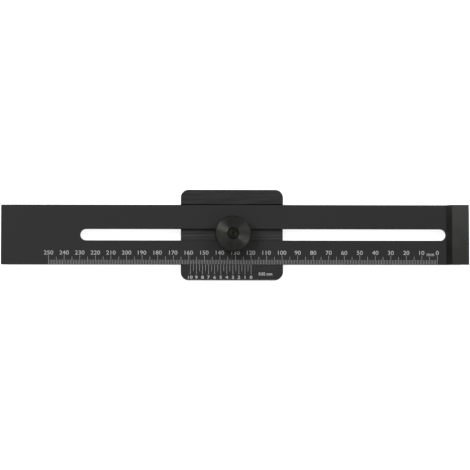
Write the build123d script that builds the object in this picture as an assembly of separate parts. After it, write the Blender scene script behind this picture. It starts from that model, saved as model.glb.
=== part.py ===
from build123d import *
import os
from math import cos, pi, sin, tan

# Marking ruler: a slotted, graduated beam, a stop slide that runs on it and is
# clamped by a knurled knob, and a hardened scribing block at the beam's right end.
# It lies on the back of its slide. X runs along the beam, Y across it and Z up to
# the reader. The origin is the middle of the whole length and of the beam's width,
# on the plane that the slide's back rests on.

# Whole tool
beam_length = 300.8        # left end to the top right corner of the scribing block
edge_overhang = 0.4        # how far the scribing edge stands out past that corner
reading = 120.0            # distance from fence face to scribing edge, as it rests

# Beam
beam_width = 38.5
beam_thickness = 4.0
beam_edge_chamfer = 0.25
beam_corner_radius = 0.6

# Slot in the beam
slot_width = 7.4
slot_length = 235.3
slot_edge_chamfer = 0.25

# Scribing block
block_foot_inset = 14.7    # from the scribing edge to the foot of the left bevel
block_rise = 3.7           # height above the beam's face, and width of the bevel
block_foot_land = 0.25     # blunt height left at the foot of the bevel
block_corner_chamfer = 0.3
blade_thickness = 5.8      # lower leg, from beam end to scribing edge
blade_relief_height = 2.2  # the underside rises this much behind the edge, at 45 degrees
slot_to_block = 0.3        # beam left between the slot's end and the block's foot

# Screws and dowels of the block, seen from the beam's underside
block_fixing_x_inset = 10.1
screw_spacing = 16.0
dowel_spacing = 30.0
screw_diameter = 3.0
screw_clearance_hole = 3.3
screw_head_diameter = 5.6
screw_head_sink = 0.1
screw_key_width = 2.0
screw_key_depth = 1.1
screw_tip_gap = 0.4
screw_thread_gap = 0.03    # radial, between the screw and its tapped hole
block_hole_skin = 0.8      # steel left above the blind holes
dowel_diameter = 3.0
dowel_sink = 0.5
dowel_tip_gap = 0.4

# Stop slide
slide_length = 65.8
slide_width = 58.0
clamp_to_fence = 32.4      # the clamp's axis from the fence face
fence_depth = 8.0          # from the slide's back to the floor of its channel
slide_corner_radius = 5.0
slide_edge_chamfer = 0.35
floor_end_chamfer = 0.3
channel_edge_chamfer = 0.2
running_gap = 0.02         # beam to channel floor, and beam to the lower channel wall
spring_side_gap = 0.42     # beam to the upper channel wall

# Leaf spring in the upper channel wall
spring_length = 40.0
spring_height = 2.6
spring_thickness = 0.3
spring_pocket_depth = 1.0
spring_pocket_height = 3.2
spring_pocket_end_gap = 0.5
spring_touch_gap = 0.02

# Clamp bolt, with its hexagon head sunk in the slide's back
bolt_diameter = 6.0
bolt_head_flats = 10.0
bolt_head_height = 4.0
bolt_head_chamfer = 0.6
bolt_head_sink = 0.6
bolt_head_gap = 0.05
bolt_end_diameter = 6.6    # end upset over, which keeps the knob on
bolt_end_height = 0.7
bolt_end_chamfer = 0.2
bolt_dish_diameter = 3.6   # shallow dish that the upsetting punch leaves
bolt_dish_depth = 0.3
centre_mark_diameter = 1.3
centre_mark_depth = 0.6
shank_gap = 0.05           # radial, bolt in slide, bush and knob

# Guide bush in the slot
bush_gap = 0.05            # radial, bush in slot
bush_press_depth = 1.5
bush_top_gap = 0.2
bush_chamfer = 0.3

# Thrust washer, held captive on the knob's spigot
washer_diameter = 20.0
washer_thickness = 1.5
washer_chamfer = 0.3
washer_sink_diameter = 9.3
washer_sink_depth = 0.8
washer_bore_gap = 0.05     # radial, on the spigot

# Clamp knob
knob_diameter = 23.6
knob_height = 14.5         # above the washer
knob_head_height = 10.0
knob_collar_diameter = 14.0
knob_collar_chamfer = 0.4
knob_rim_chamfer = 0.7
knob_crown = 0.3           # the face falls this much from the recess to the rim
knob_under_chamfer = 1.0
knob_recess_diameter = 6.9
knob_recess_depth = 2.6
knob_recess_chamfer = 0.35
knurl_count = 72
knurl_depth = 0.35
spigot_diameter = 8.0
spigot_lip_diameter = 8.9
spigot_lip_height = 0.3
spigot_end_gap = 0.4       # lip to the beam's face
knob_lift = 1.0            # one turn of the thread
knob_stop_gap = 0.1        # what is left under the upset end after that turn

# Aids to construction
hexagon_sides = 6
flats_to_corners = 1 / cos(pi / hexagon_sides)
bevel_rise = tan(pi / 6)   # the bolt head is chamfered at 30 degrees
cut_overrun = 1.0          # how far a cutting shape reaches past the face that it opens
bolt_overlap = 0.5         # how far the shank reaches into the head it is forged with
level_tolerance = 0.0001
edge_tolerance = 0.01

# Places along X
total_length = beam_length + edge_overhang
edge_x = total_length / 2
beam_left_x = -total_length / 2
block_corner_x = beam_left_x + beam_length
block_foot_x = edge_x - block_foot_inset
beam_right_x = edge_x - blade_thickness
slot_right_x = block_foot_x - slot_to_block
slot_left_x = slot_right_x - slot_length
fixing_x = edge_x - block_fixing_x_inset
fence_x = edge_x - reading
slide_left_x = fence_x - slide_length
slide_middle_x = (fence_x + slide_left_x) / 2
clamp_x = fence_x - clamp_to_fence

# Places along Z
floor_z = fence_depth
beam_bottom_z = floor_z + running_gap
beam_top_z = beam_bottom_z + beam_thickness
block_top_z = beam_top_z + block_rise
washer_top_z = beam_top_z + washer_thickness
knob_top_z = washer_top_z + knob_height
knob_head_z = knob_top_z - knob_head_height
recess_floor_z = knob_top_z - knob_recess_depth
bolt_end_z = recess_floor_z + knob_lift + knob_stop_gap
bolt_head_top_z = bolt_head_sink + bolt_head_height

# Places along Y
beam_side_y = beam_width / 2
lower_wall_y = -beam_side_y - running_gap
upper_wall_y = beam_side_y + spring_side_gap
spring_back_y = upper_wall_y + spring_pocket_depth


def prism(face, bottom_z, top_z):
    """A flat XY face raised from one height to another."""
    return extrude(Pos(0, 0, bottom_z) * face, top_z - bottom_z)


def rod(diameter, bottom_z, top_z, x=0.0, y=0.0):
    """An upright cylinder between two heights."""
    return prism(Pos(x, y) * Circle(diameter / 2), bottom_z, top_z)


def block_between(low, high):
    """A box given by its lowest and highest corners."""
    size = Vector(*high) - Vector(*low)
    middle = (Vector(*high) + Vector(*low)) * 0.5
    return Pos(*middle) * Box(*size)


def turned(profile):
    """A solid of revolution about Z from (radius, height) points."""
    outline = Polyline(*[(r, 0, z) for r, z in profile], close=True)
    return revolve(make_face(outline), Axis.Z)


def edges_at_height(solid, height):
    """The edges of a solid that lie level at one height."""
    return solid.edges().filter_by_position(Axis.Z, height - level_tolerance, height + level_tolerance)


def screw_places():
    """Both screws of the scribing block, in XY."""
    return [(fixing_x, side * screw_spacing / 2) for side in (-1, 1)]


def dowel_places():
    """Both dowels of the scribing block, in XY."""
    return [(fixing_x, side * dowel_spacing / 2) for side in (-1, 1)]


def screw_cone():
    """The countersunk head of a block screw, on the Z axis."""
    head_z = beam_bottom_z + screw_head_sink
    head_r = screw_head_diameter / 2
    neck_r = screw_diameter / 2
    neck_z = head_z + head_r - neck_r
    return turned([(0, head_z), (head_r, head_z), (neck_r, neck_z), (0, neck_z)])


def is_in_slot(point):
    """Whether a point of the beam lies on the slot's outline."""
    low = slot_left_x - edge_tolerance
    high = slot_right_x + edge_tolerance
    return abs(point.Y) < slot_width and low < point.X < high


def is_outer(point):
    """Whether a point lies on one of the beam's long sides or on its left end."""
    return abs(point.Y) > slot_width or point.X < slot_left_x - slot_width


def make_beam():
    plate = Pos((beam_left_x + beam_right_x) / 2, 0) * Rectangle(
        beam_right_x - beam_left_x, beam_width
    )
    left_corners = plate.vertices().sort_by(Axis.X)[:2]
    plate = fillet(left_corners, beam_corner_radius)
    slot = Pos((slot_left_x + slot_right_x) / 2, 0) * SlotOverall(slot_length, slot_width)
    beam = prism(plate - slot, beam_bottom_z, beam_top_z)
    for height in (beam_bottom_z, beam_top_z):
        level = edges_at_height(beam, height)
        slot_edges = [e for e in level if is_in_slot(e.center())]
        beam = chamfer(slot_edges, slot_edge_chamfer)
        level = edges_at_height(beam, height)
        outer = [e for e in level if is_outer(e.center())]
        beam = chamfer(outer, beam_edge_chamfer)
    under_z = beam_bottom_z - cut_overrun
    over_z = beam_top_z + cut_overrun
    for x, y in screw_places():
        seat = screw_cone() + rod(screw_head_diameter, under_z, beam_bottom_z + screw_head_sink)
        beam -= Pos(x, y) * seat
        beam -= rod(screw_clearance_hole, under_z, over_z, x, y)
    for x, y in dowel_places():
        beam -= rod(dowel_diameter, under_z, over_z, x, y)
    return beam


def make_scriber_block():
    relief_z = beam_bottom_z + blade_relief_height
    profile = [
        (block_foot_x, beam_top_z),
        (block_foot_x, beam_top_z + block_foot_land),
        (block_foot_x + block_rise - block_foot_land, block_top_z),
        (block_corner_x - block_corner_chamfer, block_top_z),
        (block_corner_x, block_top_z - block_corner_chamfer),
        (edge_x, beam_bottom_z),
        (edge_x - blade_relief_height, relief_z),
        (beam_right_x, relief_z),
        (beam_right_x, beam_top_z),
    ]
    outline = Polyline(*[(x, -beam_side_y, z) for x, z in profile], close=True)
    block = extrude(make_face(outline), beam_width, dir=(0, 1, 0))
    under_z = beam_top_z - cut_overrun
    hole_top_z = block_top_z - block_hole_skin
    tapped = screw_diameter + 2 * screw_thread_gap
    for x, y in screw_places():
        block -= rod(tapped, under_z, hole_top_z, x, y)
    for x, y in dowel_places():
        block -= rod(dowel_diameter, under_z, hole_top_z, x, y)
    return block


def make_scriber_screw(x, y):
    tip_z = block_top_z - block_hole_skin - screw_tip_gap
    head_z = beam_bottom_z + screw_head_sink
    screw = screw_cone() + rod(screw_diameter, head_z, tip_z)
    key_corners = screw_key_width * flats_to_corners
    key_outline = RegularPolygon(key_corners / 2, hexagon_sides)
    key = prism(key_outline, head_z - cut_overrun, head_z + screw_key_depth)
    return Pos(x, y) * (screw - key)


def make_scriber_dowel(x, y):
    bottom_z = beam_bottom_z + dowel_sink
    top_z = block_top_z - block_hole_skin - dowel_tip_gap
    dowel = rod(dowel_diameter, bottom_z, top_z)
    dowel = chamfer(edges_at_height(dowel, bottom_z) + edges_at_height(dowel, top_z), dowel_sink / 2)
    return Pos(x, y) * dowel


def make_slide_body():
    outline = Pos(slide_middle_x, 0) * RectangleRounded(slide_length, slide_width, slide_corner_radius)
    body = prism(outline, 0, beam_top_z)
    rims = edges_at_height(body, 0) + edges_at_height(body, beam_top_z)
    body = chamfer(rims, slide_edge_chamfer)
    body -= block_between(
        (slide_left_x - cut_overrun, lower_wall_y, floor_z),
        (fence_x + cut_overrun, upper_wall_y, beam_top_z + cut_overrun),
    )
    floor_ends = [
        e for e in edges_at_height(body, floor_z)
        if abs(abs(e.center().X - slide_middle_x) - slide_length / 2) < edge_tolerance
    ]
    body = chamfer(floor_ends, floor_end_chamfer)
    wall_tops = [
        e for e in edges_at_height(body, beam_top_z)
        if min(abs(e.center().Y - lower_wall_y), abs(e.center().Y - upper_wall_y)) < edge_tolerance
    ]
    body = chamfer(wall_tops, channel_edge_chamfer)
    pocket_half = spring_length / 2 + spring_pocket_end_gap
    body -= block_between(
        (slide_middle_x - pocket_half, upper_wall_y - edge_tolerance, floor_z),
        (slide_middle_x + pocket_half, spring_back_y, floor_z + spring_pocket_height),
    )
    head_corners = (bolt_head_flats + 2 * bolt_head_gap) * flats_to_corners
    head_outline = RegularPolygon(head_corners / 2, hexagon_sides)
    body -= Pos(clamp_x, 0) * prism(head_outline, -cut_overrun, bolt_head_top_z)
    over_z = floor_z + cut_overrun
    body -= rod(bolt_diameter + 2 * shank_gap, 0, over_z, clamp_x)
    bush_diameter = slot_width - 2 * bush_gap
    body -= rod(bush_diameter, floor_z - bush_press_depth, over_z, clamp_x)
    return body


def make_pressure_spring():
    """A thin strip bowed towards the beam, its ends on the back of the pocket."""
    crest_y = beam_side_y + spring_touch_gap
    bow = spring_back_y - spring_thickness - crest_y
    half = spring_length / 2
    radius = (half**2 + bow**2) / (2 * bow)
    inner = ThreePointArc((-half, crest_y + bow), (0, crest_y), (half, crest_y + bow))
    outer_y = crest_y + spring_thickness
    outer = ThreePointArc((-half, outer_y + bow), (0, outer_y), (half, outer_y + bow))
    ends = [Line(inner @ 0, outer @ 0), Line(inner @ 1, outer @ 1)]
    strip = make_face([inner, ends[1], outer, ends[0]])
    middle_z = floor_z + spring_pocket_height / 2
    spring = prism(strip, middle_z - spring_height / 2, middle_z + spring_height / 2)
    return Pos(slide_middle_x, 0) * spring


def make_clamp_bolt():
    crown_r = bolt_head_flats * flats_to_corners / 2
    head = prism(RegularPolygon(crown_r, hexagon_sides), bolt_head_sink, bolt_head_top_z)
    crown = turned([
        (0, bolt_head_sink),
        (crown_r - bolt_head_chamfer, bolt_head_sink),
        (crown_r, bolt_head_sink + bolt_head_chamfer * bevel_rise),
        (crown_r, bolt_head_top_z),
        (0, bolt_head_top_z),
    ])
    shank_r = bolt_diameter / 2
    end_r = bolt_end_diameter / 2
    tip_z = bolt_end_z + bolt_end_height
    dish_r = bolt_dish_diameter / 2
    dish_z = tip_z - bolt_dish_depth
    mark_r = centre_mark_diameter / 2
    shank_bottom_z = bolt_head_top_z - bolt_overlap
    shank = turned([
        (0, shank_bottom_z),
        (shank_r, shank_bottom_z),
        (shank_r, bolt_end_z),
        (end_r, bolt_end_z),
        (end_r, tip_z - bolt_end_chamfer),
        (end_r - bolt_end_chamfer, tip_z),
        (dish_r, tip_z),
        (dish_r, dish_z),
        (mark_r, dish_z),
        (0, dish_z - centre_mark_depth),
    ])
    return Pos(clamp_x, 0) * ((head & crown) + shank)


def make_guide_bush():
    outer = slot_width / 2 - bush_gap
    inner = bolt_diameter / 2 + shank_gap
    low = floor_z - bush_press_depth
    high = beam_top_z - bush_top_gap
    ring = turned([
        (inner, low),
        (outer, low),
        (outer, high - bush_chamfer),
        (outer - bush_chamfer, high),
        (inner, high),
    ])
    return Pos(clamp_x, 0) * ring


def make_thrust_washer():
    outer = washer_diameter / 2
    inner = spigot_diameter / 2 + washer_bore_gap
    sink = washer_sink_diameter / 2
    ring = turned([
        (sink, beam_top_z),
        (outer - washer_chamfer, beam_top_z),
        (outer, beam_top_z + washer_chamfer),
        (outer, washer_top_z - washer_chamfer),
        (outer - washer_chamfer, washer_top_z),
        (inner, washer_top_z),
        (inner, beam_top_z + washer_sink_depth),
        (sink, beam_top_z + washer_sink_depth),
    ])
    return Pos(clamp_x, 0) * ring


def make_clamp_knob():
    """A turned knob with a straight-knurled head, a collar and a short spigot."""
    bore = bolt_diameter / 2 + shank_gap
    recess = knob_recess_diameter / 2
    collar = knob_collar_diameter / 2
    rim = knob_diameter / 2
    spigot = spigot_diameter / 2
    lip = spigot_lip_diameter / 2
    low = beam_top_z + spigot_end_gap
    face_rim_z = knob_top_z - knob_crown
    blank = turned([
        (bore, low),
        (lip, low),
        (lip, low + spigot_lip_height),
        (spigot, low + spigot_lip_height),
        (spigot, washer_top_z),
        (collar - knob_collar_chamfer, washer_top_z),
        (collar, washer_top_z + knob_collar_chamfer),
        (collar, knob_head_z),
        (rim - knob_under_chamfer, knob_head_z),
        (rim, knob_head_z + knob_under_chamfer),
        (rim, face_rim_z - knob_rim_chamfer),
        (rim - knob_rim_chamfer, face_rim_z),
        (recess + knob_recess_chamfer, knob_top_z),
        (recess, knob_top_z - knob_recess_chamfer),
        (recess, recess_floor_z),
        (bore, recess_floor_z),
    ])
    step = 2 * pi / knurl_count
    valley = rim - knurl_depth
    ridges = []
    for k in range(knurl_count):
        crest_turn = k * step
        valley_turn = crest_turn + step / 2
        ridges.append((rim * cos(crest_turn), rim * sin(crest_turn)))
        ridges.append((valley * cos(valley_turn), valley * sin(valley_turn)))
    knurled = prism(make_face(Polyline(*ridges, close=True)), low, knob_top_z)
    return Pos(clamp_x, 0) * (blank & knurled)


nodes = {
    "beam": make_beam(),
    "scriber_block": make_scriber_block(),
    "slide_body": make_slide_body(),
    "pressure_spring": make_pressure_spring(),
    "clamp_bolt": make_clamp_bolt(),
    "guide_bush": make_guide_bush(),
    "thrust_washer": make_thrust_washer(),
    "clamp_knob": make_clamp_knob(),
}
for number, place in enumerate(screw_places(), start=1):
    nodes[f"scriber_screw_{number}"] = make_scriber_screw(*place)
for number, place in enumerate(dowel_places(), start=1):
    nodes[f"scriber_dowel_{number}"] = make_scriber_dowel(*place)

os.makedirs("parts", exist_ok=True)
for name, shape in nodes.items():
    export_step(shape, f"parts/{name}.step")
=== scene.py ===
import math
from collections import Counter

import bmesh
import bpy
from mathutils import Matrix, Vector


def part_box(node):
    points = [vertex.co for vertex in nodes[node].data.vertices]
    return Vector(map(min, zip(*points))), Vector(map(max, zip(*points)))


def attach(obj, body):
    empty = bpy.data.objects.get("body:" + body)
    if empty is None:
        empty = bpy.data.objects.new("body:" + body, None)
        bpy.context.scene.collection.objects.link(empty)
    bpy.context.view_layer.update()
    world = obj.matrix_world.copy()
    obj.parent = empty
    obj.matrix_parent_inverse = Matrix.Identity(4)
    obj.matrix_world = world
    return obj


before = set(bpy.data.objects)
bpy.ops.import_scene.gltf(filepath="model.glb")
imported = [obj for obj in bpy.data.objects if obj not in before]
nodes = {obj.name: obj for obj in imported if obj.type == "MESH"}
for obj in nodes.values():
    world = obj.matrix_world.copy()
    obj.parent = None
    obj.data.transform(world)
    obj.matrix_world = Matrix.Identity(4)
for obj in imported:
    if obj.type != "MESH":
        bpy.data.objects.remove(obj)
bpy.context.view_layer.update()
MM = 0.001

# Places read from the frame; Y is zero on the beam's middle line
beam_low, beam_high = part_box("beam")
_, slide_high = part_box("slide_body")
knob_low, knob_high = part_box("clamp_knob")
_, block_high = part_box("scriber_block")
RUNNING_GAP = 0.02 * MM         # from the beam to the floor and lower wall of the slide's channel
FACE_Z = beam_high.z            # of the beam and of both flanges of the slide
BEAM_EDGE_Y = beam_low.y
FLANGE_EDGE_Y = BEAM_EDGE_Y - RUNNING_GAP
CHANNEL_FLOOR_Z = beam_low.z - RUNNING_GAP
EDGE_X = block_high.x           # scribing edge
FENCE_X = slide_high.x
KNOB_AXIS = ((knob_low.x + knob_high.x) / 2, (knob_low.y + knob_high.y) / 2, 0)
KNOB_RADIUS = (knob_high.x - knob_low.x) / 2

# Marks
ZERO_INSET = 20.6 * MM          # scribing edge to the main zero, and fence to the vernier zero
MAIN_RANGE = 250                # millimetres on the main scale
VERNIER_PARTS = 20
VERNIER_SPAN = 39 * MM          # twenty parts over thirty-nine millimetres read 0.05 mm
TICK_WIDTH = 0.16 * MM
MARK_PROUD = 0.012 * MM         # the marks stand this far out of the face
MARK_DEPTH = 0.03 * MM          # and are this thick
BEAM_CHAMFER = 0.25 * MM
FLANGE_CHAMFER = 0.2 * MM

# Where the marks begin and end along Y; a main mark's length goes by the step that it stands for
MAIN_TICK_TOPS = {10: -13.3 * MM, 5: -14.2 * MM, 1: -16.2 * MM}
VERNIER_LONG_Y = -25.6 * MM
VERNIER_SHORT_Y = -23.5 * MM

# Numbers: baseline, height, width of three digits or of one, and how much the strokes are thickened in em
MAIN_NUMBER_Y = -12.9 * MM
MAIN_NUMBER_HEIGHT = 2.6 * MM
THREE_DIGITS_WIDTH = 6.0 * MM
MAIN_WEIGHT = 0.001
VERNIER_NUMBER_Y = -28.4 * MM
VERNIER_NUMBER_HEIGHT = 2.0 * MM
ONE_DIGIT_WIDTH = 1.72 * MM
VERNIER_WEIGHT = 0.018          # with more, the outlines of some digits cross themselves
CURVE_STEPS = 6                 # in each curve of a letter

# Unit words: left, right, low and high side
UNIT_BOX = (123.2 * MM, 127.9 * MM, -13.75 * MM, -12.1 * MM)
VERNIER_UNIT_BOX = (14.9 * MM, 23.6 * MM, -26.25 * MM, -24.25 * MM)

# Camera, solved from the graduation, the slot and the slide's edges
CAMERA_TARGET = Vector((-0.32 * MM, -0.205 * MM, FACE_Z))
CAMERA_LEAN = (-0.0224, -0.0633)             # of the view line along X and Y, for each metre of height
CAMERA_DISTANCE = 1.5
CAMERA_NEAR = 0.05
CAMERA_FAR = 20.0
PICTURE_PIXELS = 470
PIXELS_PER_METRE = 1554.9                    # on the beam's face
SENSOR = 36.0                                # millimetres

# Light, in metres, degrees and watts; azimuth is counted from +X towards +Y
LAMP_DISTANCE = 3.0
LAMP_ELEVATION = 60
KEY_LAMP = {"azimuth": 144, "size": (0.7, 1.2), "power": 31.5}
FILL_LAMP = {"azimuth": 28, "size": (0.9, 1.2), "power": 11}
WORLD_HORIZON = 0.22
WORLD_ZENITH = 0.785
FLOOR_HALF = 30.0
FLOOR_PAPER = 0.82
FLOOR_GLOW = 0.80

# Finish and painted light, in millimetres or as shares of the colour
FLOOR_LIGHT_FADE = (0.3, 0.6)               # the channel floor's painted light ends this far up its walls
# painted light: the channel floor is lifted, partly its milled finish and partly against the shade under
# the beam
FLOOR_PAINTED_LIFT = 0.62
PAINTED_HIGHLIGHT_LINES = ((-0.3, 0.35), (-2.2, 0.35), (-3.6, 0.4))    # painted highlight lines along the channel floor: y and half width
PAINTED_HIGHLIGHT_STRENGTH = 1.7
# painted sheen on the scriber block: lighter towards the beam's upper side, darker towards its lower
BLOCK_PAINTED_SHEEN = 0.19
PAINTED_SHEEN_REACH = 14.0                         # the painted sheen's reach on each side of the beam's middle line
RING_PITCH = 0.35
KNOB_FACE_RADIUS = KNOB_RADIUS / MM - 1.0    # the rim beyond it is darker
KNOB_RIM_LIGHTNESS = 0.6

# Colours, as linear light
BEAM_COLOUR = (0.012, 0.012, 0.0121)
SLIDE_COLOUR = (0.0125, 0.0125, 0.0125)
BLOCK_COLOUR = (0.0388, 0.0388, 0.0377)
KNOB_COLOUR = (0.0305, 0.0305, 0.0288)
BOLT_COLOUR = (0.0155, 0.0155, 0.0118)
BUSH_COLOUR = (0.45, 0.45, 0.45)
BRASS_COLOUR = (0.62, 0.43, 0.17)
SPRING_COLOUR = (0.022, 0.022, 0.024)
SCREW_COLOUR = (0.1, 0.1, 0.1)
MARK_COLOUR = (0.45, 0.45, 0.45)
WHITE = (1, 1, 1, 1)


def add(tree, kind, inputs=None, **settings):
    """A new node, with its settings, and its inputs linked or set."""
    node = tree.nodes.new(kind)
    for name, value in settings.items():
        setattr(node, name, value)
    for key, value in (inputs or {}).items():
        if isinstance(value, bpy.types.NodeSocket):
            tree.links.new(value, node.inputs[key])
        else:
            node.inputs[key].default_value = value
    return node


def empty_tree(owner):
    """The emptied node tree of a material or a world."""
    owner.use_nodes = True
    owner.node_tree.nodes.clear()
    return owner.node_tree


def start_material(name):
    """A node material with only a Principled shader on its output."""
    material = bpy.data.materials.new(name)
    tree = empty_tree(material)
    shader = add(tree, "ShaderNodeBsdfPrincipled")
    add(tree, "ShaderNodeOutputMaterial", {"Surface": shader.outputs[0]})
    return material, tree, shader


def in_mm(tree, shift=(0, 0, 0), scale=(1, 1, 1)):
    """The point on the object in millimetres, moved by a shift in metres and then stretched."""
    place = add(tree, "ShaderNodeTexCoord").outputs["Object"]
    moved = add(tree, "ShaderNodeVectorMath", {0: place, 1: shift}, operation="SUBTRACT").outputs[0]
    grown = [s / MM for s in scale]
    return add(tree, "ShaderNodeVectorMath", {0: moved, 1: grown}, operation="MULTIPLY").outputs[0]


def noise(tree, vector, scale, detail, roughness=0.5):
    """Cloud noise from about 0.3 to 0.7."""
    inputs = {"Vector": vector, "Scale": scale, "Detail": detail, "Roughness": roughness}
    return add(tree, "ShaderNodeTexNoise", inputs).outputs["Fac"]


def ranged(tree, value, low, high, from_low=0.3, from_high=0.7):
    """Maps a value from one range to another, clamped."""
    inputs = {"Value": value, "From Min": from_low, "From Max": from_high, "To Min": low, "To Max": high}
    return add(tree, "ShaderNodeMapRange", inputs).outputs[0]


def varied(tree, value, share, from_low=0.3, from_high=0.7):
    """A factor round 1 that differs from it by a share each way."""
    return ranged(tree, value, 1 - share, 1 + share, from_low, from_high)


def math_node(tree, operation, a, b):
    return add(tree, "ShaderNodeMath", {0: a, 1: b}, operation=operation).outputs[0]


def product(tree, first, *others):
    """The product of two or more values."""
    for other in others:
        first = math_node(tree, "MULTIPLY", first, other)
    return first


def tint(tree, colour, amount):
    """A colour made lighter or darker by a factor."""
    inputs = {0: colour, "Scale": amount}
    return add(tree, "ShaderNodeVectorMath", inputs, operation="SCALE").outputs[0]


def bump(tree, height, distance, below=None):
    """A fine relief, on top of the relief below it if there is one."""
    inputs = {"Height": height, "Distance": distance, "Strength": 1.0}
    if below is not None:
        inputs["Normal"] = below
    return add(tree, "ShaderNodeBump", inputs).outputs[0]


def join_inputs(tree, shader, colour, roughness, normal):
    tree.links.new(colour, shader.inputs["Base Color"])
    tree.links.new(roughness, shader.inputs["Roughness"])
    tree.links.new(normal, shader.inputs["Normal"])


def channel_wear(tree, place, shade):
    """The slide's channel floor is lighter, partly its milled finish and partly painted light against the
    shade under the beam, with a few painted highlight lines along X; the lowest also lifts the shade along
    the slot's lower wall.
    """
    y, z = [add(tree, "ShaderNodeSeparateXYZ", {0: place}).outputs[i] for i in (1, 2)]
    fade_low, fade_high = [CHANNEL_FLOOR_Z / MM + fade for fade in FLOOR_LIGHT_FADE]
    on_floor = ranged(tree, z, 1.0, 0.0, fade_low, fade_high)
    # the floor is lifted: partly its milled finish, partly painted light against the shade under the beam
    shade = math_node(tree, "ADD", shade, product(tree, on_floor, FLOOR_PAINTED_LIFT))
    wobble = noise(tree, in_mm(tree, scale=(0.08, 0.6, 0.6)), scale=1.0, detail=2.0)
    # painted highlight lines along X; the lowest also lifts the shade along the slot's lower wall
    for line_y, half in PAINTED_HIGHLIGHT_LINES:
        away = math_node(tree, "ABSOLUTE", math_node(tree, "SUBTRACT", y, line_y), 0.0)
        light = ranged(tree, away, 1.0, 0.0, half * 0.5, half * 1.5)
        light = product(tree, light, ranged(tree, wobble, 0.6, 1.0), on_floor, PAINTED_HIGHLIGHT_STRENGTH)
        shade = math_node(tree, "ADD", shade, light)
    return shade


def make_anodised(name, colour, streaks, streak_pace, painted_channel_light=False):
    """Black anodised aluminium: blasted grain over lengthwise milling streaks.

    Streaks is their strength as a share of the colour, and the pace is how fast they change along X
    and across it, per millimetre.
    """
    material, tree, shader = start_material(name)
    place = in_mm(tree)
    along, across = streak_pace
    streak_place = in_mm(tree, scale=(along, across, across))
    cloud = noise(tree, place, scale=0.05, detail=3.0)
    grain = noise(tree, place, scale=5.0, detail=3.0, roughness=0.6)
    lines = noise(tree, streak_place, scale=1.0, detail=4.0, roughness=0.6)
    shade = product(tree, varied(tree, cloud, 0.03), varied(tree, grain, 0.05),
                    varied(tree, lines, streaks, 0.35, 0.65))
    # painted light on the slide's channel floor: a lift out of its shade and painted highlight lines
    if painted_channel_light:
        shade = channel_wear(tree, place, shade)
    relief = bump(tree, grain, distance=0.004 * MM)
    relief = bump(tree, lines, distance=0.02 * MM * streaks, below=relief)
    join_inputs(tree, shader, tint(tree, colour, shade), ranged(tree, grain, 0.50, 0.60), relief)
    shader.inputs["Specular IOR Level"].default_value = 0.25
    return material


def make_ground_steel(name, colour, roughness, line_pace, painted_sheen=0.0):
    """Ground steel whose fine lines run the way in which they change least per millimetre.

    The painted sheen makes it lighter towards the beam's upper side and darker towards its lower side, by
    that share each way: a painted light gradient.
    """
    material, tree, shader = start_material(name)
    lines = noise(tree, in_mm(tree, scale=line_pace), scale=2.0, detail=4.0, roughness=0.7)
    cloud = noise(tree, in_mm(tree), scale=0.12, detail=3.0)
    shade = product(tree, varied(tree, lines, 0.1), varied(tree, cloud, 0.07))
    # painted sheen: lighter towards the beam's upper side, darker towards its lower
    if painted_sheen:
        y = add(tree, "ShaderNodeSeparateXYZ", {0: in_mm(tree)}).outputs[1]
        shade = product(tree, shade, varied(tree, y, painted_sheen, -PAINTED_SHEEN_REACH, PAINTED_SHEEN_REACH))
    gloss = ranged(tree, lines, roughness - 0.05, roughness + 0.05)
    join_inputs(tree, shader, tint(tree, colour, shade), gloss, bump(tree, lines, distance=0.004 * MM))
    shader.inputs["Metallic"].default_value = 1.0
    return material


def make_turned_metal(name, colour, roughness, anisotropy, face_radius=None):
    """Metal turned round the knob's axis: concentric marks, with the streaks of light that they give.

    Beyond the face radius, in millimetres, the metal is darker.
    """
    material, tree, shader = start_material(name)
    place = in_mm(tree, shift=KNOB_AXIS)
    flat = add(tree, "ShaderNodeVectorMath", {0: place, 1: (1, 1, 0)}, operation="MULTIPLY").outputs[0]
    radius = add(tree, "ShaderNodeVectorMath", {0: flat}, operation="LENGTH").outputs["Value"]
    ring_place = add(tree, "ShaderNodeCombineXYZ", {0: radius}).outputs[0]
    rings = noise(tree, ring_place, scale=1 / RING_PITCH, detail=4.0, roughness=0.7)
    cloud = noise(tree, place, scale=0.35, detail=3.0)
    shade = product(tree, varied(tree, rings, 0.15), varied(tree, cloud, 0.15))
    if face_radius:
        rim = ranged(tree, radius, 1.0, KNOB_RIM_LIGHTNESS, face_radius - 0.2, face_radius + 0.1)
        shade = product(tree, shade, rim)
    gloss = ranged(tree, rings, roughness - 0.06, roughness + 0.06)
    join_inputs(tree, shader, tint(tree, colour, shade), gloss, bump(tree, rings, distance=0.006 * MM))
    shader.inputs["Metallic"].default_value = 1.0
    shader.inputs["Anisotropic"].default_value = anisotropy
    shader.inputs["Anisotropic Rotation"].default_value = 0.25
    tangent = add(tree, "ShaderNodeTangent", direction_type="RADIAL", axis="Z").outputs[0]
    tree.links.new(tangent, shader.inputs["Tangent"])
    return material


def make_mark_paint():
    """Light grey laser marking, a little mottled."""
    material, tree, shader = start_material("laser_mark")
    place = in_mm(tree)
    speck = noise(tree, place, scale=9.0, detail=2.0)
    cloud = noise(tree, place, scale=0.4, detail=2.0)
    shade = product(tree, ranged(tree, speck, 0.88, 1.1), ranged(tree, cloud, 0.92, 1.06))
    gloss = ranged(tree, speck, 0.5, 0.7)
    join_inputs(tree, shader, tint(tree, MARK_COLOUR, shade), gloss, bump(tree, speck, distance=0.003 * MM))
    return material


def paint(name, material):
    """Gives a CAD node one material."""
    for slot in nodes[name].material_slots:
        slot.material = material


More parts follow.
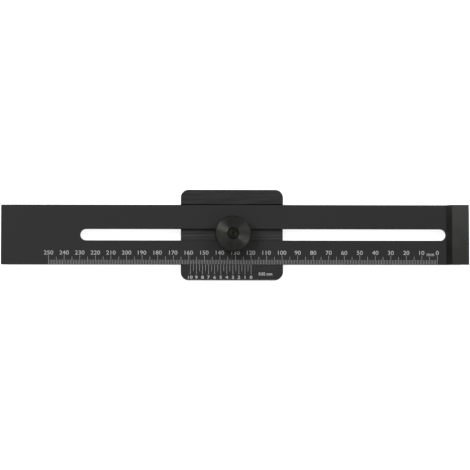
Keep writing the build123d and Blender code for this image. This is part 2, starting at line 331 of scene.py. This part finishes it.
def dress_frame():
    """Every CAD node keeps its shape and gets its finish."""
    paint("beam", make_anodised("beam_anodised", BEAM_COLOUR, streaks=0.02, streak_pace=(0.012, 1.5)))
    # the slide's channel floor gets painted light
    paint("slide_body", make_anodised("slide_anodised", SLIDE_COLOUR, streaks=0.45,
                                      streak_pace=(0.07, 0.6), painted_channel_light=True))
    # the block gets a painted sheen, lighter towards the beam's upper side
    paint("scriber_block", make_ground_steel("block_steel", BLOCK_COLOUR, roughness=0.46,
                                             line_pace=(3.0, 0.04, 3.0), painted_sheen=BLOCK_PAINTED_SHEEN))
    paint("clamp_knob", make_turned_metal("knob_steel", KNOB_COLOUR, roughness=0.32, anisotropy=0.95,
                                          face_radius=KNOB_FACE_RADIUS))
    paint("clamp_bolt", make_turned_metal("bolt_steel", BOLT_COLOUR, roughness=0.4, anisotropy=0.5))
    paint("guide_bush", make_turned_metal("bush_steel", BUSH_COLOUR, roughness=0.25, anisotropy=0.5))
    paint("thrust_washer", make_turned_metal("washer_brass", BRASS_COLOUR, roughness=0.3, anisotropy=0.6))
    paint("pressure_spring", make_ground_steel("spring_steel", SPRING_COLOUR, roughness=0.3,
                                               line_pace=(0.04, 3.0, 3.0)))
    fixing = make_ground_steel("fixing_steel", SCREW_COLOUR, roughness=0.4, line_pace=(2.0, 2.0, 0.1))
    for name in nodes:
        if name.startswith(("scriber_screw", "scriber_dowel")):
            paint(name, fixing)


def place_marks(name, bm, body, material):
    """Makes one visible piece of a set of marks, which rides on a body."""
    bmesh.ops.recalc_face_normals(bm, faces=bm.faces[:])
    mesh = bpy.data.meshes.new(name)
    bm.to_mesh(mesh)
    bm.free()
    mesh.materials.append(material)
    piece = bpy.data.objects.new(name, mesh)
    bpy.context.scene.collection.objects.link(piece)
    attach(piece, body)


def strip(bm, x, path):
    """One mark: a thin closed strip that follows a path of (y, z) points, with its top on it."""
    sides = []
    for side in (-TICK_WIDTH / 2, TICK_WIDTH / 2):
        top = [bm.verts.new((x + side, y, z)) for y, z in path]
        under = [bm.verts.new((x + side, y, z - MARK_DEPTH)) for y, z in path]
        sides.append(top + under[::-1])
    left, right = sides
    count = len(left)
    bm.faces.new(left)
    bm.faces.new(right[::-1])
    for i in range(count):
        j = (i + 1) % count
        bm.faces.new((left[j], left[i], right[i], right[j]))


def make_main_ticks(mark):
    """Millimetre marks from 0 to 250 that run over the chamfer of the beam's lower edge."""
    bm = bmesh.new()
    top_z = FACE_Z + MARK_PROUD
    over = MARK_PROUD / 2
    for value in range(MAIN_RANGE + 1):
        start = next(y for step, y in MAIN_TICK_TOPS.items() if value % step == 0)
        path = [(start, top_z), (BEAM_EDGE_Y + BEAM_CHAMFER - over, top_z),
                (BEAM_EDGE_Y - over, top_z - BEAM_CHAMFER)]
        strip(bm, EDGE_X - ZERO_INSET - value * MM, path)
    place_marks("main_scale_ticks", bm, "beam_assembly", mark)


def make_vernier_ticks(mark):
    """Twenty vernier parts on the lower flange, with a longer mark at every second one."""
    bm = bmesh.new()
    top_z = FACE_Z + MARK_PROUD
    over = MARK_PROUD / 2
    for part in range(VERNIER_PARTS + 1):
        end = VERNIER_SHORT_Y if part % 2 else VERNIER_LONG_Y
        path = [(end, top_z), (FLANGE_EDGE_Y - FLANGE_CHAMFER + over, top_z),
                (FLANGE_EDGE_Y, top_z - FLANGE_CHAMFER + over)]
        strip(bm, FENCE_X - ZERO_INSET - part * VERNIER_SPAN / VERNIER_PARTS, path)
    place_marks("vernier_ticks", bm, "slide_assembly", mark)


def text_mesh(body, weight):
    """A word as a flat mesh on its baseline, in em, its strokes thickened by a weight."""
    curve = bpy.data.curves.new("word", "FONT")
    curve.body = body
    curve.resolution_u = CURVE_STEPS
    curve.offset = weight
    maker = bpy.data.objects.new("word", curve)
    bpy.context.scene.collection.objects.link(maker)
    bpy.context.view_layer.update()
    mesh = bpy.data.meshes.new_from_object(maker.evaluated_get(bpy.context.evaluated_depsgraph_get()))
    bpy.data.objects.remove(maker)
    return mesh


def extent(mesh):
    """The left, right, low and high side of a flat mesh."""
    xs = [v.co.x for v in mesh.vertices]
    ys = [v.co.y for v in mesh.vertices]
    return min(xs), max(xs), min(ys), max(ys)


def set_word(bm, body, left, right, low, high, weight):
    """Sets a word into a box on the face, with the thickness of a mark."""
    flat = text_mesh(body, weight)
    x0, x1, y0, y1 = extent(flat)
    wide = (right - left) / (x1 - x0)
    tall = (high - low) / (y1 - y0)
    places = [(left + (v.co.x - x0) * wide, low + (v.co.y - y0) * tall) for v in flat.vertices]
    top_z = FACE_Z + MARK_PROUD
    top = [bm.verts.new((x, y, top_z)) for x, y in places]
    under = [bm.verts.new((x, y, top_z - MARK_DEPTH)) for x, y in places]
    for face in flat.polygons:
        bm.faces.new([top[i] for i in face.vertices])
        bm.faces.new([under[i] for i in reversed(face.vertices)])
    uses = Counter(key for face in flat.polygons for key in face.edge_keys)
    for (i, j), count in uses.items():
        if count == 1:
            bm.faces.new((top[i], under[i], under[j], top[j]))
    bpy.data.meshes.remove(flat)


def width_of(body, weight):
    """A word's width in em."""
    flat = text_mesh(body, weight)
    x0, x1, _, _ = extent(flat)
    bpy.data.meshes.remove(flat)
    return x1 - x0


def set_number(bm, value, x, low, height, em, weight):
    """Centres a number on a mark; em is the width of an em along X."""
    half = width_of(str(value), weight) * em / 2
    set_word(bm, str(value), x - half, x + half, low, low + height, weight)


def make_main_numbers(mark):
    """Every tenth millimetre's number, and the unit between 10 and 0."""
    bm = bmesh.new()
    em = THREE_DIGITS_WIDTH / width_of("200", MAIN_WEIGHT)
    for value in range(0, MAIN_RANGE + 1, 10):
        x = EDGE_X - ZERO_INSET - value * MM
        set_number(bm, value, x, MAIN_NUMBER_Y, MAIN_NUMBER_HEIGHT, em, MAIN_WEIGHT)
    set_word(bm, "mm", *UNIT_BOX, MAIN_WEIGHT)
    place_marks("main_scale_numbers", bm, "beam_assembly", mark)


def make_vernier_numbers(mark):
    """0 to 10 under the longer vernier marks, and what one part reads."""
    bm = bmesh.new()
    em = ONE_DIGIT_WIDTH / width_of("0", VERNIER_WEIGHT)
    for number in range(VERNIER_PARTS // 2 + 1):
        x = FENCE_X - ZERO_INSET - number * 2 * VERNIER_SPAN / VERNIER_PARTS
        set_number(bm, number, x, VERNIER_NUMBER_Y, VERNIER_NUMBER_HEIGHT, em, VERNIER_WEIGHT)
    set_word(bm, "0.05 mm", *VERNIER_UNIT_BOX, VERNIER_WEIGHT)
    place_marks("vernier_numbers", bm, "slide_assembly", mark)


def add_camera():
    """Looks down at the beam's face, leaning a little, with the picture's rows along X."""
    back = Vector((*CAMERA_LEAN, 1)).normalized()
    right = Vector((0, 1, 0)).cross(back).normalized()
    up = back.cross(right)
    data = bpy.data.cameras.new("camera")
    data.sensor_width = SENSOR
    data.lens = SENSOR * CAMERA_DISTANCE / (PICTURE_PIXELS / PIXELS_PER_METRE)
    data.clip_start = CAMERA_NEAR
    data.clip_end = CAMERA_FAR
    camera = bpy.data.objects.new("camera", data)
    camera.location = CAMERA_TARGET + back * CAMERA_DISTANCE
    camera.rotation_mode = "QUATERNION"
    camera.rotation_quaternion = Matrix((right, up, back)).transposed().to_quaternion()
    bpy.context.scene.collection.objects.link(camera)
    bpy.context.scene.camera = camera


def add_light(name, azimuth, size, power):
    """An upright strip light high above the object, which it faces."""
    a = math.radians(azimuth)
    e = math.radians(LAMP_ELEVATION)
    way = Vector((math.cos(a) * math.cos(e), math.sin(a) * math.cos(e), math.sin(e)))
    data = bpy.data.lights.new(name, "AREA")
    data.shape = "RECTANGLE"
    data.size, data.size_y = size
    data.energy = power
    lamp = bpy.data.objects.new(name, data)
    lamp.location = way * LAMP_DISTANCE
    lamp.rotation_mode = "QUATERNION"
    lamp.rotation_quaternion = way.to_track_quat("Z", "Y")
    bpy.context.scene.collection.objects.link(lamp)


def add_world():
    """Soft room light, brighter overhead than at the horizon."""
    world = bpy.data.worlds.new("studio")
    bpy.context.scene.world = world
    tree = empty_tree(world)
    way = add(tree, "ShaderNodeTexCoord").outputs["Generated"]
    height = add(tree, "ShaderNodeSeparateXYZ", {0: way}).outputs[2]
    level = ranged(tree, height, WORLD_HORIZON, WORLD_ZENITH, 0.0, 1.0)
    room = add(tree, "ShaderNodeBackground", {"Color": WHITE, "Strength": level})
    add(tree, "ShaderNodeOutputWorld", {"Surface": room.outputs[0]})


def seen_directly(tree):
    """1 for rays that show the floor itself: camera, mirror and glass rays."""
    path = add(tree, "ShaderNodeLightPath")
    total = math_node(tree, "ADD", path.outputs["Is Camera Ray"], path.outputs["Is Glossy Ray"])
    total = math_node(tree, "ADD", total, path.outputs["Is Transmission Ray"])
    return add(tree, "ShaderNodeClamp", {0: total}).outputs[0]


def add_floor():
    """A pale floor that glows where it is seen, so that it is white but keeps a soft shadow."""
    bm = bmesh.new()
    bmesh.ops.create_grid(bm, x_segments=2, y_segments=2, size=FLOOR_HALF)
    mesh = bpy.data.meshes.new("floor")
    bm.to_mesh(mesh)
    bm.free()
    floor = bpy.data.objects.new("floor", mesh)
    bpy.context.scene.collection.objects.link(floor)
    material = bpy.data.materials.new("floor_paper")
    tree = empty_tree(material)
    paper = add(tree, "ShaderNodeBsdfDiffuse", {"Color": (*[FLOOR_PAPER] * 3, 1)})
    glow = add(tree, "ShaderNodeEmission", {"Color": WHITE, "Strength": FLOOR_GLOW})
    both = add(tree, "ShaderNodeAddShader", {0: paper.outputs[0], 1: glow.outputs[0]})
    ways = {0: seen_directly(tree), 1: paper.outputs[0], 2: both.outputs[0]}
    mixed = add(tree, "ShaderNodeMixShader", ways)
    add(tree, "ShaderNodeOutputMaterial", {"Surface": mixed.outputs[0]})
    mesh.materials.append(material)


dress_frame()
mark_paint = make_mark_paint()
make_main_ticks(mark_paint)
make_vernier_ticks(mark_paint)
make_main_numbers(mark_paint)
make_vernier_numbers(mark_paint)
add_camera()
add_light("key_upper_left", **KEY_LAMP)
add_light("fill_upper_right", **FILL_LAMP)
add_world()
add_floor()
bpy.context.scene.view_settings.view_transform = "Standard"
